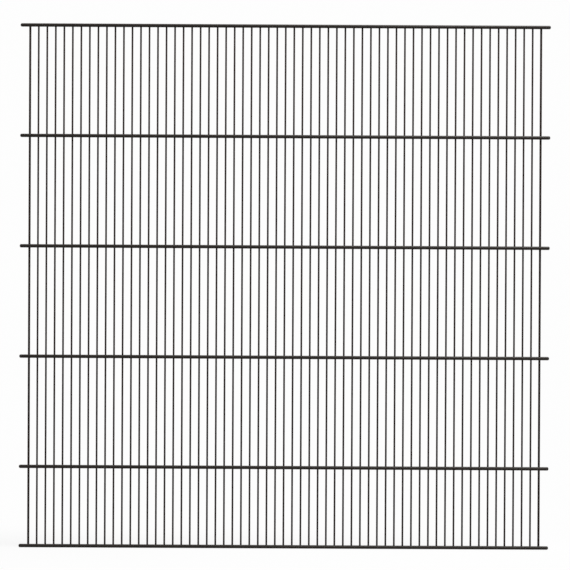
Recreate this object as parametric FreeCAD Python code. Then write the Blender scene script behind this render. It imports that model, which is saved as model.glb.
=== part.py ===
import FreeCAD, Part
import math
import os
from FreeCAD import Vector

# Welded mesh fence panel: thin upright wires, each welded to six heavier rods that run across in front of them.
# Millimetres. X runs along the rods, Z is up, and the rods lie on the -Y side of the wires.
# The origin is on the cut lower end of the middle wire, level with the underside of the bottom rod.

# Upright wires, bare
wire_diameter = 4.0
edge_wire_diameter = 5.0
wire_pitch = 20.0
gaps_each_side = 30  # gaps between the middle wire and the edge wire on one side

# Rods across the wires, bare
rod_diameter = 8.0
rod_overhang = 22.0  # from the middle of an edge wire to the tip of a rod
nose_radius = 3.5  # rounding of the rod ends
upper_courses = 4  # equal courses, counted from the top rod
upper_course_height = 259.0  # from rod to rod
bottom_course_height = 186.0

# Welds and coat
weld_depth = 0.5  # how far the outline of a wire is pressed into its rod
coat_thickness = 0.1  # zinc and powder, on every bar

# Flat sides and steps that stand for round shapes
wire_sides = 12
rod_sides = 16  # the stretch past an edge wire, where a rod is held, is truly round
end_clearance = 0.4  # from an edge wire to where that stretch starts
nose_steps = 4
largest_nose = 0.9  # as a share of the rod radius

right = Vector(1, 0, 0)
front = Vector(0, -1, 0)
up = Vector(0, 0, 1)

wire_radius = wire_diameter / 2 + coat_thickness
edge_wire_radius = edge_wire_diameter / 2 + coat_thickness
rod_radius = rod_diameter / 2 + coat_thickness
seat_plane = -wire_radius  # y of the front of every wire; the inner wires stand at y = 0
rod_depth = seat_plane + weld_depth - rod_radius  # y of the rod axes
edge_x = gaps_each_side * wire_pitch
rod_reach = edge_x + rod_overhang
round_start = edge_x + edge_wire_radius + end_clearance
upper_height = upper_courses * upper_course_height
panel_height = 2 * rod_radius + bottom_course_height + upper_height


def section(centre, corner_radius, across, sides):
    """Corners of a regular section of a bar, with one flat side facing the front."""
    corners = []
    for number in range(sides):
        turn = (2 * number + 1) * math.pi / sides
        corners.append(
            centre
            + front * (corner_radius * math.cos(turn))
            + across * (corner_radius * math.sin(turn))
        )
    return corners


def flat_face(corners):
    return Part.Face(Part.makePolygon(corners + corners[:1]))


def flat_sided_bar(stations, sides):
    """Solid bar through stations, each the middle of a section and the radius of its corners."""
    across = front.cross(stations[-1][0] - stations[0][0])
    across.normalize()
    sections = [section(centre, corner_radius, across, sides) for centre, corner_radius in stations]
    faces = [flat_face(sections[0]), flat_face(sections[-1])]
    for near, far in zip(sections, sections[1:]):
        for number in range(sides):
            following = (number + 1) % sides
            faces.append(flat_face([near[number], near[following], far[following], far[number]]))
    solid = Part.Solid(Part.Shell(faces))
    if solid.Volume < 0:
        solid.reverse()
    return solid


def upright_wire(x, radius):
    """Wire with its flats on the true round, from the underside of the bottom rod to the top of the top rod."""
    foot = Vector(x, seat_plane + radius, 0)
    corner_radius = radius / math.cos(math.pi / wire_sides)
    return flat_sided_bar([(foot, corner_radius), (foot + up * panel_height, corner_radius)], wire_sides)


def right_rod_end(z):
    """Free end of a rod: a true round stretch past the edge wire, then a nose rounded off in short steps."""
    nose = min(nose_radius, largest_nose * rod_radius)
    round_length = rod_reach - nose - round_start
    stretch = Part.makeCylinder(rod_radius, round_length, Vector(round_start, rod_depth, z), right)
    stations = []
    for step in range(nose_steps + 1):
        turn = step / nose_steps * math.pi / 2
        centre = Vector(rod_reach - nose * (1 - math.sin(turn)), rod_depth, z)
        stations.append((centre, rod_radius - nose * (1 - math.cos(turn))))
    return [stretch, flat_sided_bar(stations, rod_sides)]


def seated_rod(z, wires):
    """Rod with a shallow seat across its back at each crossing, the shape of the wire pressed into it."""
    left_start = Vector(-round_start, rod_depth, z)
    right_start = Vector(round_start, rod_depth, z)
    run = flat_sided_bar([(left_start, rod_radius), (right_start, rod_radius)], rod_sides)
    right_end = right_rod_end(z)
    left_end = [piece.mirror(Vector(0, 0, 0), right) for piece in right_end]
    rod = run.fuse(left_end + right_end)
    return rod.cut(Part.makeCompound(wires)).Solids[0]


def make_wires():
    """Wires by node name: the middle one, then the pairs at equal distances to its left and right."""
    wires = {"centre_wire": [upright_wire(0, wire_radius)]}
    for gap in range(1, gaps_each_side):
        x = gap * wire_pitch
        wires[f"wire_pair_{gap:02d}"] = [upright_wire(side * x, wire_radius) for side in (-1, 1)]
    wires["edge_wires"] = [upright_wire(side * edge_x, edge_wire_radius) for side in (-1, 1)]
    return wires


def make_rods(wires):
    """Rods by node name, from the top rod down the equal courses to the bottom rod."""
    top = panel_height - rod_radius
    rods = {"top_rod": seated_rod(top, wires)}
    for course in range(1, upper_courses + 1):
        rods[f"middle_rod_{course}"] = seated_rod(top - course * upper_course_height, wires)
    rods["bottom_rod"] = seated_rod(rod_radius, wires)
    return rods


def main():
    os.makedirs("parts", exist_ok=True)
    wires = make_wires()
    rods = make_rods([wire for group in wires.values() for wire in group])
    for node, solids in wires.items():
        shape = solids[0] if len(solids) == 1 else Part.makeCompound(solids)
        shape.exportStep(f"parts/{node}.step")
    for node, rod in rods.items():
        rod.exportStep(f"parts/{node}.step")
    print(f"panel {2 * rod_reach:.0f} wide and {panel_height:.1f} high")


main()
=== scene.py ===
import math
import random

import bmesh
import bpy
from mathutils import Matrix, Vector


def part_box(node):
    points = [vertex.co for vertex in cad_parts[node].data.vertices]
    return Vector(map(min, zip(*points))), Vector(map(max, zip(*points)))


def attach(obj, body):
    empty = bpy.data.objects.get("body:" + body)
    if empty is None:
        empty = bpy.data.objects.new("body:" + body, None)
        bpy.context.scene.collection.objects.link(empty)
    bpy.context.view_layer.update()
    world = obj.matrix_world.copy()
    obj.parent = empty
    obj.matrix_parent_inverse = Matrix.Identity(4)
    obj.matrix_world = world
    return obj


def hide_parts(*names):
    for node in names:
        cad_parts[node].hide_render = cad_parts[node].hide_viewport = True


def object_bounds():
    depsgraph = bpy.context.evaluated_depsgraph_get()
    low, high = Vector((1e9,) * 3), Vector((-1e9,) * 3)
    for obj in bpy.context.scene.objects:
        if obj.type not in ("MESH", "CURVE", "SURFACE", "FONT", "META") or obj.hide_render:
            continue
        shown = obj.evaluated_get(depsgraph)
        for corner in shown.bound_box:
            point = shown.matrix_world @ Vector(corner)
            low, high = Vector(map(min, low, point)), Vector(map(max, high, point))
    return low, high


# Welded mesh fence panel: round coated wires behind six round coated rods, and a weld bead at each crossing.
# Metres. X runs along the rods, Z is up, and the rods lie on the -Y side of the wires.

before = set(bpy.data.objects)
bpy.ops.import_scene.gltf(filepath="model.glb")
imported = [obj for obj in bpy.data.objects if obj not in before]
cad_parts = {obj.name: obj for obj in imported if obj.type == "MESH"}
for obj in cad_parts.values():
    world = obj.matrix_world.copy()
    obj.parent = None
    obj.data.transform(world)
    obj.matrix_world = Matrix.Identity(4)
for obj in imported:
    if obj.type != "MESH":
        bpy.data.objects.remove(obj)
cad_low, cad_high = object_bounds()

MM = 0.001

ROD_NODES = ["top_rod", "middle_rod_1", "middle_rod_2", "middle_rod_3", "middle_rod_4", "bottom_rod"]
WIRE_NODES = [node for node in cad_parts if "wire" in node]

# Bars
ROD_FACETS = 56
ROD_NOSE = 3.5 * MM
NOSE_STEPS = 9
WIRE_FACETS = 32
CUT_ROUNDING = 0.3 * MM  # the coat rounds the edge of a cut wire end
CUT_STEPS = 2
SMOOTH_ANGLE = math.radians(40)

# Weld beads, as half sizes of a bead at an inner wire
BEAD_HALF_WIDTH = 3.0 * MM
BEAD_HALF_DEPTH = 1.0 * MM
BEAD_HALF_HEIGHT = 3.2 * MM
BEAD_SINK = 0.2 * MM  # middle of a bead behind the front of its wire
BEAD_END_SHARE = 0.5  # from this share of its height outward a bead narrows
BEAD_END_WIDTH = 0.8
BEAD_BELLY_SHARE = 0.2  # within this share of its height a bead is squeezed out to both sides
BEAD_BELLY_WIDTH = 1.1
BEAD_FACETS = 10
BEAD_RINGS = 6
BEAD_SIZE_SPREAD = 0.12
BEAD_TILT_SPREAD = math.radians(9)
BEAD_SEED = 7

# Coat, as a light and a deep shade between which it drifts. Scales are patches to the metre
ROD_SHADES = ((0.0170, 0.0129, 0.0100), (0.0102, 0.0077, 0.0060))
# Wires carry the same coat as the rods; their lighter, browner shades are painted light, standing in for the
# front light on the wires
WIRE_SHADES_WITH_PAINTED_LIGHT = ((0.0238, 0.0161, 0.0135), (0.0148, 0.0100, 0.0084))
DRIFT_SCALE = 24.0
GLOSS_SCALE = 160.0
GLOSS_SPREAD = 0.06  # roughness above and below the middle, in dull and in glossy patches
WAVE_SCALE = 210.0  # slow waves that carry the pebbles
WAVE_SHARE = 0.8  # depth of the waves against that of the pebbles
BUMP_STRENGTH = 0.5
NOISE_MIDDLE = (0.3, 0.7)  # most of a noise lies between these

# Dust on what faces up. Its pale cover is also a painted lightening of the upper sides, standing in for
# light from above
DUST_AND_TOP_LIGHT_COLOR = (0.23, 0.21, 0.19)
DUST_AND_TOP_LIGHT_SCALE = 70.0
DUST_AND_TOP_LIGHT_SLOPE = 0.15  # upward part of the surface normal from which dust stays
THINNEST_COVER = 0.3  # cover of the barest patches against the fullest
DUST_ROUGHNESS = 0.3  # added by a full cover

# Surround
WHITE = (0.987, 0.987, 0.987)
AMBIENT = 0.12
FLOOR_COLOR = (0.76, 0.76, 0.76)
FLOOR_ROUGHNESS = 0.9
FLOOR_SIZE = 40
FLOOR_DROP = 0.2 * MM
GLOW_BESIDE = 0.88  # share of plain white in the floor seen beside the panel; the rest shows shadows
GLOW_REACH = 0.5  # distance from the panel at which the seen floor has faded to plain white

# Camera, measured from the foot of the middle wire
CAMERA_DISTANCE = 5.0
CAMERA_SIDE = -0.0035
CAMERA_HEIGHT = 0.6469
CAMERA_YAW = math.radians(0.052)
CAMERA_PITCH = math.radians(-0.320)
CAMERA_ROLL = math.radians(0.282)
FOCAL_LENGTH_PIXELS = 2127.5
PICTURE_WIDTH_PIXELS = 570
SENSOR_WIDTH_MM = 36.0


def mesh_edit(piece):
    """Enters edit mode on one piece with nothing selected, and gives its editable mesh."""
    bpy.ops.object.select_all(action="DESELECT")
    bpy.context.view_layer.objects.active = piece
    piece.select_set(True)
    bpy.ops.object.mode_set(mode="EDIT")
    bpy.ops.mesh.select_mode(type="EDGE")
    bpy.ops.mesh.select_all(action="DESELECT")
    return bmesh.from_edit_mesh(piece.data)


def finish_edit(piece):
    bmesh.update_edit_mesh(piece.data)
    bpy.ops.object.mode_set(mode="OBJECT")


def copy_of(piece, name, placing):
    """Copy with a mesh of its own, placed in its mesh so that the object stays on the origin."""
    twin = piece.copy()
    twin.data = piece.data.copy()
    twin.name = name
    bpy.context.collection.objects.link(twin)
    twin.data.transform(placing)
    return twin


def joined(pieces, name):
    """Makes several pieces one, under a new name."""
    bpy.ops.object.select_all(action="DESELECT")
    for piece in pieces:
        piece.select_set(True)
    bpy.context.view_layer.objects.active = pieces[0]
    if len(pieces) > 1:
        bpy.ops.object.join()
    whole = pieces[0]
    whole.name = name
    whole.data.name = name
    return whole


def remove(piece):
    bpy.data.objects.remove(piece, do_unlink=True)


def round_bar(name, radius, length, facets, end_rounding, end_steps):
    """Upright round bar on the origin, with the rims of both ends rounded over by a bevel."""
    bpy.ops.object.select_all(action="DESELECT")
    bpy.ops.mesh.primitive_cylinder_add(vertices=facets, radius=radius, depth=length)
    bar = bpy.context.object
    bar.name = name
    editable = mesh_edit(bar)
    for edge in editable.edges:
        middle_height = (edge.verts[0].co.z + edge.verts[1].co.z) / 2
        edge.select = abs(middle_height) > length / 4
    bmesh.update_edit_mesh(bar.data)
    bpy.ops.mesh.bevel(offset=end_rounding, segments=end_steps, profile=0.5, affect="EDGES")
    finish_edit(bar)
    bpy.ops.object.shade_smooth_by_angle(angle=SMOOTH_ANGLE)
    return bar


def wire_places(node):
    """Radius and length of the wires in one node, and the middle of each, read from the node's box."""
    low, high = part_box(node)
    radius = (high[1] - low[1]) / 2
    depth = (high[1] + low[1]) / 2
    height = (high[2] + low[2]) / 2
    left, right = low[0] + radius, high[0] - radius
    sides = [left] if right - left < radius else [left, right]
    return radius, high[2] - low[2], [Vector((x, depth, height)) for x in sides]


def make_wires(coat):
    """One piece for each node of wires. Gives the middle and radius of every wire, from left to right."""
    patterns = {}
    places = []
    for node in WIRE_NODES:
        radius, length, middles = wire_places(node)
        size = round(radius / MM, 2)
        if size not in patterns:
            patterns[size] = round_bar("wire_pattern", radius, length, WIRE_FACETS, CUT_ROUNDING, CUT_STEPS)
        twins = [copy_of(patterns[size], node, Matrix.Translation(middle)) for middle in middles]
        piece = joined(twins, f"{node}_coated")
        piece.data.materials.append(coat)
        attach(piece, "root")
        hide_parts(node)
        places += [(middle, radius) for middle in middles]
    for pattern in patterns.values():
        remove(pattern)
    return sorted(places, key=lambda place: place[0].x)


def rod_middle(node):
    low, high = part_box(node)
    return (Vector(low) + Vector(high)) / 2


def make_rods(coat):
    """One piece for each rod, all copies of one bar with rounded noses."""
    low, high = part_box(ROD_NODES[0])
    radius = (high[2] - low[2]) / 2
    pattern = round_bar("rod_pattern", radius, high[0] - low[0], ROD_FACETS, ROD_NOSE, NOSE_STEPS)
    for node in ROD_NODES:
        placing = Matrix.Translation(rod_middle(node)) @ Matrix.Rotation(math.radians(90), 4, "Y")
        piece = copy_of(pattern, f"{node}_coated", placing)
        piece.data.materials.append(coat)
        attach(piece, "root")
        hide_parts(node)
    remove(pattern)


def select_heights(piece, lowest, highest):
    """Selects the points of a piece in edit mode whose height, up or down, lies between two bounds."""
    bpy.ops.mesh.select_mode(type="VERT")
    bpy.ops.mesh.select_all(action="DESELECT")
    editable = bmesh.from_edit_mesh(piece.data)
    for point in editable.verts:
        point.select = lowest <= abs(point.co.z) <= highest
    editable.select_flush_mode()
    bmesh.update_edit_mesh(piece.data)


def bead_pattern():
    """Flat oval bead, pressed out to both sides of the wire and narrower above and below."""
    bpy.ops.object.select_all(action="DESELECT")
    bpy.ops.mesh.primitive_uv_sphere_add(segments=BEAD_FACETS, ring_count=BEAD_RINGS, radius=1.0)
    bead = bpy.context.object
    bead.name = "bead_pattern"
    mesh_edit(bead)
    bpy.ops.mesh.select_all(action="SELECT")
    bpy.ops.transform.resize(value=(BEAD_HALF_WIDTH, BEAD_HALF_DEPTH, BEAD_HALF_HEIGHT))
    select_heights(bead, BEAD_END_SHARE * BEAD_HALF_HEIGHT, BEAD_HALF_HEIGHT)
    bpy.ops.transform.resize(value=(BEAD_END_WIDTH, 1, 1), center_override=(0, 0, 0))
    select_heights(bead, 0, BEAD_BELLY_SHARE * BEAD_HALF_HEIGHT)
    bpy.ops.transform.resize(value=(BEAD_BELLY_WIDTH, 1, 1), center_override=(0, 0, 0))
    finish_edit(bead)
    bpy.ops.object.shade_smooth()
    return bead


def make_welds(wires, coat):
    """A row of weld beads behind each rod, each a little different in size and tilt."""
    spread = random.Random(BEAD_SEED)
    pattern = bead_pattern()
    inner_radius = min(radius for middle, radius in wires)
    for node in ROD_NODES:
        level = rod_middle(node).z
        beads = []
        for middle, radius in wires:
            seat = Vector((middle.x, middle.y - radius + BEAD_SINK, level))
            wider = radius / inner_radius
            sizes = [1 + spread.uniform(-BEAD_SIZE_SPREAD, BEAD_SIZE_SPREAD) for direction in "XYZ"]
            tilt = spread.uniform(-BEAD_TILT_SPREAD, BEAD_TILT_SPREAD)
            placing = (
                Matrix.Translation(seat)
                @ Matrix.Rotation(tilt, 4, "Y")
                @ Matrix.Diagonal((sizes[0] * wider, sizes[1], sizes[2], 1))
            )
            beads.append(copy_of(pattern, "bead", placing))
        row = joined(beads, f"{node}_weld_beads")
        row.data.materials.append(coat)
        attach(row, "root")
    remove(pattern)


def feed(tree, value, socket):
    """Writes a number on a socket, or links another node's output to it."""
    if isinstance(value, (int, float)):
        socket.default_value = value
    else:
        tree.links.new(value, socket)


def worked_out(tree, operation, *values):
    """Result of a math node on numbers or on other nodes' outputs."""
    node = tree.nodes.new("ShaderNodeMath")
    node.operation = operation
    for value, socket in zip(values, node.inputs):
        feed(tree, value, socket)
    return node.outputs["Value"]


def mapped(tree, value, source, target, interpolation="LINEAR"):
    """Value carried from one range onto another, and held at the ends of it."""
    node = tree.nodes.new("ShaderNodeMapRange")
    node.interpolation_type = interpolation
    feed(tree, value, node.inputs["Value"])
    for label, bound in zip(("From Min", "From Max", "To Min", "To Max"), (*source, *target)):
        feed(tree, bound, node.inputs[label])
    return node.outputs["Result"]


def noise(tree, place, scale, detail, roughness):
    node = tree.nodes.new("ShaderNodeTexNoise")
    tree.links.new(place, node.inputs["Vector"])
    for label, value in (("Scale", scale), ("Detail", detail), ("Roughness", roughness)):
        feed(tree, value, node.inputs[label])
    return node.outputs["Fac"]


def mixed_colors(tree, share, first, second):
    node = tree.nodes.new("ShaderNodeMix")
    node.data_type = "RGBA"
    tree.links.new(share, node.inputs["Factor"])
    tree.links.new(first, node.inputs["A"])
    tree.links.new(second, node.inputs["B"])
    return node.outputs["Result"]


def mixed_shaders(tree, share, first, second):
    node = tree.nodes.new("ShaderNodeMixShader")
    for output, socket in zip((share, first, second), node.inputs):
        tree.links.new(output, socket)
    return node.outputs["Shader"]


def parts_of(tree, vector):
    """The outputs X, Y and Z of a vector."""
    node = tree.nodes.new("ShaderNodeSeparateXYZ")
    tree.links.new(vector, node.inputs["Vector"])
    return node.outputs


def new_group(name, inputs, outputs):
    """Empty shader node group with named value or colour sockets."""
    group = bpy.data.node_groups.new(name, "ShaderNodeTree")
    for label, kind in inputs:
        group.interface.new_socket(label, in_out="INPUT", socket_type=kind)
    for label, kind in outputs:
        group.interface.new_socket(label, in_out="OUTPUT", socket_type=kind)
    given = group.nodes.new("NodeGroupInput").outputs
    result = group.nodes.new("NodeGroupOutput").inputs
    return group, given, result


def baked_coat_group():
    """Baked powder coat: a fine pebbled skin, slow drifts of shade, and gloss that comes and goes."""
    group, given, result = new_group(
        "baked_coat",
        [("Shade", "NodeSocketColor"), ("Deep Shade", "NodeSocketColor"),
         ("Pebble Scale", "NodeSocketFloat"), ("Dull Roughness", "NodeSocketFloat"),
         ("Glossy Roughness", "NodeSocketFloat")],
        [("Color", "NodeSocketColor"), ("Roughness", "NodeSocketFloat"), ("Height", "NodeSocketFloat")],
    )
    place = group.nodes.new("ShaderNodeTexCoord").outputs["Object"]
    drifts = noise(group, place, scale=DRIFT_SCALE, detail=4.0, roughness=0.6)
    patches = noise(group, place, scale=GLOSS_SCALE, detail=3.0, roughness=0.55)
    pebbles = noise(group, place, scale=given["Pebble Scale"], detail=2.0, roughness=0.5)
    waves = noise(group, place, scale=WAVE_SCALE, detail=1.0, roughness=0.5)
    lightness = mapped(group, drifts, NOISE_MIDDLE, (0.0, 1.0))
    shade = mixed_colors(group, lightness, given["Deep Shade"], given["Shade"])
    gloss = mapped(group, patches, NOISE_MIDDLE, (given["Glossy Roughness"], given["Dull Roughness"]))
    height = worked_out(group, "MULTIPLY_ADD", waves, WAVE_SHARE, pebbles)
    group.links.new(shade, result["Color"])
    group.links.new(gloss, result["Roughness"])
    group.links.new(height, result["Height"])
    return group


def dust_and_top_light_group():
    """Faint pale dust that lies on what faces up, more in some places than in others. It also paints the
    upper sides lighter, standing in for light from above.
    """
    group, given, result = new_group(
        "dust_and_painted_top_light",
        [("Color", "NodeSocketColor"), ("Roughness", "NodeSocketFloat"), ("Dust And Top Light", "NodeSocketColor"),
         ("Amount", "NodeSocketFloat")],
        [("Color", "NodeSocketColor"), ("Roughness", "NodeSocketFloat")],
    )
    place = group.nodes.new("ShaderNodeTexCoord").outputs["Object"]
    normal = group.nodes.new("ShaderNodeNewGeometry").outputs["Normal"]
    # Upward faces are made paler: settled dust, and painted light from above on the upper sides
    facing_up = mapped(group, parts_of(group, normal)["Z"], (DUST_AND_TOP_LIGHT_SLOPE, 1.0), (0.0, 1.0))
    patches = noise(group, place, scale=DUST_AND_TOP_LIGHT_SCALE, detail=5.0, roughness=0.65)
    thickness = mapped(group, patches, NOISE_MIDDLE, (THINNEST_COVER, 1.0))
    cover = worked_out(group, "MULTIPLY", facing_up, thickness)
    share = worked_out(group, "MULTIPLY", cover, given["Amount"])
    dulled = worked_out(group, "MULTIPLY_ADD", share, DUST_ROUGHNESS, given["Roughness"])
    group.links.new(mixed_colors(group, share, given["Color"], given["Dust And Top Light"]), result["Color"])
    group.links.new(dulled, result["Roughness"])
    return group


def coated_steel(name, coat, dust_and_top_light, shades, shine, roughness, pebble_scale, pebble_depth, dust_and_top_light_amount):
    """Near-black satin coat on steel, with values of its own for a rod, a wire or a weld."""
    material = bpy.data.materials.new(name)
    material.use_nodes = True
    tree = material.node_tree
    shader = tree.nodes["Principled BSDF"]
    shader.inputs["Specular IOR Level"].default_value = shine
    skin = tree.nodes.new("ShaderNodeGroup")
    skin.node_tree = coat
    skin.inputs["Shade"].default_value = (*shades[0], 1)
    skin.inputs["Deep Shade"].default_value = (*shades[1], 1)
    skin.inputs["Pebble Scale"].default_value = pebble_scale
    skin.inputs["Glossy Roughness"].default_value = roughness - GLOSS_SPREAD
    skin.inputs["Dull Roughness"].default_value = roughness + GLOSS_SPREAD
    # Pale cover on upward faces: dust, and painted light from above
    dust_and_light_layer = tree.nodes.new("ShaderNodeGroup")
    dust_and_light_layer.node_tree = dust_and_top_light
    dust_and_light_layer.inputs["Dust And Top Light"].default_value = (*DUST_AND_TOP_LIGHT_COLOR, 1)
    dust_and_light_layer.inputs["Amount"].default_value = dust_and_top_light_amount
    bump = tree.nodes.new("ShaderNodeBump")
    bump.inputs["Strength"].default_value = BUMP_STRENGTH
    bump.inputs["Distance"].default_value = pebble_depth
    tree.links.new(skin.outputs["Color"], dust_and_light_layer.inputs["Color"])
    tree.links.new(skin.outputs["Roughness"], dust_and_light_layer.inputs["Roughness"])
    tree.links.new(skin.outputs["Height"], bump.inputs["Height"])
    tree.links.new(dust_and_light_layer.outputs["Color"], shader.inputs["Base Color"])
    tree.links.new(dust_and_light_layer.outputs["Roughness"], shader.inputs["Roughness"])
    tree.links.new(bump.outputs["Normal"], shader.inputs["Normal"])
    return material


def seen_directly(tree):
    """1 for rays from the camera and for mirrored or refracted rays, 0 for light falling on things."""
    path = tree.nodes.new("ShaderNodeLightPath").outputs
    mirrored = worked_out(tree, "MAXIMUM", path["Is Glossy Ray"], path["Is Transmission Ray"])
    return worked_out(tree, "MAXIMUM", path["Is Camera Ray"], mirrored)


def white_world():
    """Surround that is seen as plain white and sheds only a little light."""
    world = bpy.data.worlds.new("white_surround")
    bpy.context.scene.world = world
    world.use_nodes = True
    tree = world.node_tree
    around = tree.nodes["Background"]
    around.inputs["Color"].default_value = (1, 1, 1, 1)
    around.inputs["Strength"].default_value = AMBIENT
    seen = tree.nodes.new("ShaderNodeBackground")
    seen.inputs["Color"].default_value = (*WHITE, 1)
    seen.inputs["Strength"].default_value = 1.0
    share = seen_directly(tree)
    surround = mixed_shaders(tree, share, around.outputs["Background"], seen.outputs["Background"])
    tree.links.new(surround, tree.nodes["World Output"].inputs["Surface"])


def distance_from_panel(tree):
    """How far a point of the floor is from the line on which the panel stands."""
    place = parts_of(tree, tree.nodes.new("ShaderNodeTexCoord").outputs["Object"])
    past_end = worked_out(tree, "SUBTRACT", worked_out(tree, "ABSOLUTE", place["X"]), cad_high[0])
    step = tree.nodes.new("ShaderNodeCombineXYZ")
    tree.links.new(worked_out(tree, "MAXIMUM", past_end, 0.0), step.inputs["X"])
    tree.links.new(place["Y"], step.inputs["Y"])
    distance = tree.nodes.new("ShaderNodeVectorMath")
    distance.operation = "LENGTH"
    tree.links.new(step.outputs["Vector"], distance.inputs[0])
    return distance.outputs["Value"]


def pale_floor():
    """Wide pale floor just under the panel, with a faint shadow near it and plain white further off."""
    bpy.ops.object.select_all(action="DESELECT")
    bpy.ops.mesh.primitive_plane_add(size=FLOOR_SIZE, location=(0, 0, 0))
    floor = bpy.context.object
    floor.name = "floor"
    floor.data.transform(Matrix.Translation((0, 0, -FLOOR_DROP)))
    material = bpy.data.materials.new("pale_floor")
    material.use_nodes = True
    tree = material.node_tree
    shader = tree.nodes["Principled BSDF"]
    shader.inputs["Base Color"].default_value = (*FLOOR_COLOR, 1)
    shader.inputs["Roughness"].default_value = FLOOR_ROUGHNESS
    shader.inputs["Specular IOR Level"].default_value = 0.0
    glow = tree.nodes.new("ShaderNodeEmission")
    glow.inputs["Color"].default_value = (*WHITE, 1)
    fade = mapped(tree, distance_from_panel(tree), (0.0, GLOW_REACH), (GLOW_BESIDE, 1.0), "SMOOTHSTEP")
    share = worked_out(tree, "MULTIPLY", seen_directly(tree), fade)
    surface = mixed_shaders(tree, share, shader.outputs["BSDF"], glow.outputs["Emission"])
    tree.links.new(surface, tree.nodes["Material Output"].inputs["Surface"])
    floor.data.materials.append(material)


def soft_box(name, place, aim, width, height, power):
    data = bpy.data.lights.new(name, "AREA")
    data.shape = "RECTANGLE"
    data.size = width
    data.size_y = height
    data.energy = power
    lamp = bpy.data.objects.new(name, data)
    bpy.context.collection.objects.link(lamp)
    lamp.location = place
    lamp.rotation_euler = (Vector(aim) - Vector(place)).to_track_quat("-Z", "Y").to_euler()


def studio_lights():
    """A wide box above the panel, a little to the right, and two weak ones on the left."""
    middle = (0, 0, 0.6)
    soft_box("overhead_light", place=(1.1, -1.0, 3.6), aim=middle, width=2.4, height=1.2, power=190)
    soft_box("fill_light", place=(-2.2, -3.0, 1.3), aim=middle, width=1.6, height=1.6, power=3)
    soft_box("rear_light", place=(-1.6, 2.6, 2.8), aim=middle, width=2.0, height=1.6, power=25)


def place_camera():
    """Long lens, nearly square on, turned by a trace about its own axis."""
    data = bpy.data.cameras.new("camera")
    data.sensor_width = SENSOR_WIDTH_MM
    data.lens = FOCAL_LENGTH_PIXELS / PICTURE_WIDTH_PIXELS * SENSOR_WIDTH_MM
    camera = bpy.data.objects.new("camera", data)
    bpy.context.collection.objects.link(camera)
    ahead = Vector((
        math.sin(CAMERA_YAW) * math.cos(CAMERA_PITCH),
        math.cos(CAMERA_YAW) * math.cos(CAMERA_PITCH),
        math.sin(CAMERA_PITCH),
    ))
    level = Vector((math.cos(CAMERA_YAW), -math.sin(CAMERA_YAW), 0))
    upright = level.cross(ahead)
    right = math.cos(CAMERA_ROLL) * level + math.sin(CAMERA_ROLL) * upright
    top = math.cos(CAMERA_ROLL) * upright - math.sin(CAMERA_ROLL) * level
    turn = Matrix((right, top, -ahead)).transposed()
    camera.rotation_euler = turn.to_euler()
    camera.location = (CAMERA_SIDE, -CAMERA_DISTANCE, CAMERA_HEIGHT)
    bpy.context.scene.camera = camera


def main():
    bpy.context.scene.view_settings.view_transform = "Standard"
    coat = baked_coat_group()
    # The dust group also paints the upper sides lighter, standing in for light from above
    dust_and_top_light = dust_and_top_light_group()
    rod_coat = coated_steel(
        "rod_coat", coat, dust_and_top_light, ROD_SHADES, shine=0.14, roughness=0.42,
        pebble_scale=900.0, pebble_depth=0.15 * MM, dust_and_top_light_amount=0.10,
    )
    # Wire shades are lighter than the rods' by painted light on the wires' fronts
    wire_coat = coated_steel(
        "wire_coat", coat, dust_and_top_light, WIRE_SHADES_WITH_PAINTED_LIGHT, shine=0.08, roughness=0.45,
        pebble_scale=1100.0, pebble_depth=0.12 * MM, dust_and_top_light_amount=0.10,
    )
    weld_coat = coated_steel(
        "weld_coat", coat, dust_and_top_light, ROD_SHADES, shine=0.12, roughness=0.55,
        pebble_scale=1600.0, pebble_depth=0.25 * MM, dust_and_top_light_amount=0.15,
    )
    wires = make_wires(wire_coat)
    make_rods(rod_coat)
    make_welds(wires, weld_coat)
    white_world()
    pale_floor()
    studio_lights()
    place_camera()


main()
